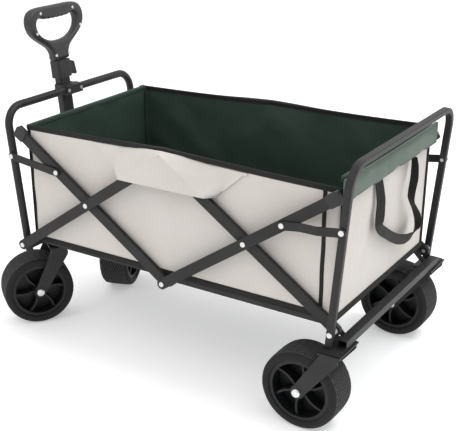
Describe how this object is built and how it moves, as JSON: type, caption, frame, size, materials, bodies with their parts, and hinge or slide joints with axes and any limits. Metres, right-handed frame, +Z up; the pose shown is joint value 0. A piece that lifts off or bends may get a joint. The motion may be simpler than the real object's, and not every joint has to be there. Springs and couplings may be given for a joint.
{
  "type": "folding camp wagon",
  "caption": "Folding four-wheel utility wagon with scissor frame, open fabric basket, swivelling front casters and a telescoping pull handle.",
  "frame": {"origin": "middle of the wagon's footprint, on the ground", "axes": "+Z up, +X towards the rear end, -X towards the handle, -Y the wagon's left side"},
  "size_m": [0.9786, 0.591, 0.7689],
  "materials": {
    "frame_steel": "satin powder coat",
    "bar_steel": "satin powder coat",
    "shaft_steel": "satin",
    "zinc": "zinc plated",
    "chrome_nut": "polished",
    "black_plastic": "moulded",
    "hub_plastic": "moulded",
    "tyre_rubber": "matte",
    "canvas_beige": "woven polyester",
    "lining_green": "woven polyester",
    "webbing_black": "webbing"
  },
  "bodies": {
    "front_frame": {"front_frame_tube": "frame_steel", "front_cross_tube": "frame_steel", "front_frame_rivets": "zinc", "handle_bracket": "frame_steel", "handle_pivot_pin": "zinc", "handle_saddle": "black_plastic"},
    "handle": {"handle_lower_shaft": "shaft_steel", "handle_collar": "black_plastic"},
    "grip": {"handle_inner_shaft": "shaft_steel", "grip_front_shell": "black_plastic", "grip_rear_shell": "black_plastic", "grip_screws": "zinc"},
    "clamp": {"clamp_lever": "black_plastic"},
    "front_outer_bars": {"front_outer_bar_left": "bar_steel", "front_outer_bar_right": "bar_steel", "front_scissor_rivets": "zinc"},
    "front_inner_bars": {"front_inner_bar_left": "bar_steel", "front_inner_bar_right": "bar_steel", "front_corner_caps": "black_plastic", "centre_hub_bar": "frame_steel"},
    "rear_inner_bars": {"rear_inner_bar_left": "bar_steel", "rear_inner_bar_right": "bar_steel"},
    "rear_outer_bars": {"rear_outer_bar_left": "bar_steel", "rear_outer_bar_right": "bar_steel", "rear_scissor_rivets": "zinc", "rear_corner_caps": "black_plastic"},
    "rear_frame": {"rear_frame_tube": "frame_steel", "rear_cross_tube": "frame_steel", "rear_fork_left": "frame_steel", "rear_fork_right": "frame_steel", "rear_axles": "chrome_nut", "rear_frame_rivets": "zinc"},
    "front_links": {"front_link_left": "bar_steel", "front_link_right": "bar_steel", "front_link_rivets": "zinc"},
    "rear_links": {"rear_link_left": "bar_steel", "rear_link_right": "bar_steel", "rear_link_rivets": "zinc"},
    "front_rails": {"front_floor_rails": "frame_steel", "floor_panel_front": "lining_green"},
    "rear_rails": {"rear_floor_rails": "frame_steel", "floor_panel_rear": "lining_green"},
    "basket": {"side_wall_left": "canvas_beige", "side_wall_right": "canvas_beige", "basket_front_wall": "canvas_beige"},
    "basket_rear": {"basket_rear_wall": "canvas_beige", "rear_roll": "lining_green", "rear_loop": "webbing_black"},
    "caster_left": {"caster_fork_left": "frame_steel", "caster_axle_left": "chrome_nut"},
    "caster_right": {"caster_fork_right": "frame_steel", "caster_axle_right": "chrome_nut"},
    "front_wheel_left": {"front_tyre_left": "tyre_rubber", "front_hub_left": "hub_plastic"},
    "front_wheel_right": {"front_tyre_right": "tyre_rubber", "front_hub_right": "hub_plastic"},
    "rear_wheel_left": {"rear_tyre_left": "tyre_rubber", "rear_hub_left": "hub_plastic"},
    "rear_wheel_right": {"rear_tyre_right": "tyre_rubber", "rear_hub_right": "hub_plastic"}
  },
  "joints": [
    {"name": "fold", "type": "hinge", "parent": "front_frame", "child": "front_outer_bars", "pos_m": [-0.38569, 0, 0.23], "axis": [0, -1, 0], "range_deg": [0, 38.41], "deforming": ["side_wall_left", "side_wall_right", "floor_panel_front", "floor_panel_rear"]},
    {"name": "front_crossing", "type": "hinge", "parent": "front_outer_bars", "child": "front_inner_bars", "pos_m": [-0.17569, 0, 0.374], "axis": [0, -1, 0], "range_deg": [-77.82, 1]},
    {"name": "top_hub", "type": "hinge", "parent": "front_outer_bars", "child": "rear_inner_bars", "pos_m": [0.03431, 0, 0.518], "axis": [0, -1, 0], "range_deg": [-77.82, 1]},
    {"name": "rear_crossing", "type": "hinge", "parent": "rear_inner_bars", "child": "rear_outer_bars", "pos_m": [0.24431, 0, 0.374], "axis": [0, -1, 0], "range_deg": [-1, 77.82]},
    {"name": "rear_frame_pivot", "type": "hinge", "parent": "rear_inner_bars", "child": "rear_frame", "pos_m": [0.45431, 0, 0.23], "axis": [0, -1, 0], "range_deg": [-1, 39.41]},
    {"name": "front_link_pivot", "type": "hinge", "parent": "front_frame", "child": "front_links", "pos_m": [-0.40486, 0, 0.45225], "axis": [0, -1, 0], "range_deg": [-1, 71.43]},
    {"name": "rear_link_pivot", "type": "hinge", "parent": "rear_frame", "child": "rear_links", "pos_m": [0.47024, 0, 0.45401], "axis": [0, -1, 0], "range_deg": [-73.21, 1]},
    {"name": "front_rail_pivot", "type": "hinge", "parent": "front_frame", "child": "front_rails", "pos_m": [-0.36969, 0, 0.2364], "axis": [0, -1, 0], "range_deg": [-1, 74.96]},
    {"name": "rear_rail_pivot", "type": "hinge", "parent": "rear_frame", "child": "rear_rails", "pos_m": [0.43831, 0, 0.2364], "axis": [0, -1, 0], "range_deg": [-74.96, 1]},
    {"name": "basket_hang", "type": "hinge", "parent": "front_inner_bars", "child": "basket", "pos_m": [-0.37569, 0, 0.51114], "axis": [0, -1, 0], "range_deg": [-1, 39.41]},
    {"name": "rear_wall_hang", "type": "hinge", "parent": "rear_outer_bars", "child": "basket_rear", "pos_m": [0.44431, 0, 0.51114], "axis": [0, -1, 0], "range_deg": [-39.41, 1]},
    {"name": "handle_tilt", "type": "hinge", "parent": "front_frame", "child": "handle", "pos_m": [-0.41169, 0, 0.222], "axis": [0, -1, 0], "range_deg": [0, 95]},
    {"name": "handle_extension", "type": "slide", "parent": "handle", "child": "grip", "axis": [-0.1044, 0, 0.9945], "range_m": [0, 0.35]},
    {"name": "clamp_release", "type": "hinge", "parent": "handle", "child": "clamp", "pos_m": [-0.45304, 0.0325, 0.61584], "axis": [0.9945, 0, 0.1044], "range_deg": [0, 80]},
    {"name": "left_caster_swivel", "type": "hinge", "parent": "front_frame", "child": "caster_left", "pos_m": [-0.37669, -0.148, 0.203], "axis": [0, 0, 1], "continuous": true},
    {"name": "front_left_wheel_spin", "type": "hinge", "parent": "caster_left", "child": "front_wheel_left", "pos_m": [-0.40902, -0.1925, 0.089], "axis": [0.809, -0.5878, 0], "continuous": true},
    {"name": "rear_left_wheel_spin", "type": "hinge", "parent": "rear_frame", "child": "rear_wheel_left", "pos_m": [0.39631, -0.245, 0.089], "axis": [0, 1, 0], "continuous": true},
    {"name": "right_caster_swivel", "type": "hinge", "parent": "front_frame", "child": "caster_right", "pos_m": [-0.37669, 0.148, 0.203], "axis": [0, 0, 1], "continuous": true},
    {"name": "front_right_wheel_spin", "type": "hinge", "parent": "caster_right", "child": "front_wheel_right", "pos_m": [-0.35788, 0.09632, 0.089], "axis": [0.9397, 0.342, 0], "continuous": true},
    {"name": "rear_right_wheel_spin", "type": "hinge", "parent": "rear_frame", "child": "rear_wheel_right", "pos_m": [0.39631, 0.245, 0.089], "axis": [0, 1, 0], "continuous": true}
  ],
  "couplings": [
    {"joint": "front_crossing", "follows": "fold", "ratio": -2},
    {"joint": "top_hub", "follows": "fold", "ratio": -2},
    {"joint": "rear_crossing", "follows": "fold", "ratio": 2},
    {"joint": "rear_frame_pivot", "follows": "fold", "ratio": 1},
    {"joint": "front_link_pivot", "follows": "fold", "ratio": 1.8336},
    {"joint": "rear_link_pivot", "follows": "fold", "ratio": -1.88},
    {"joint": "front_rail_pivot", "follows": "fold", "ratio": 1.9255},
    {"joint": "rear_rail_pivot", "follows": "fold", "ratio": -1.9255},
    {"joint": "basket_hang", "follows": "fold", "ratio": 1},
    {"joint": "rear_wall_hang", "follows": "fold", "ratio": -1}
  ]
}
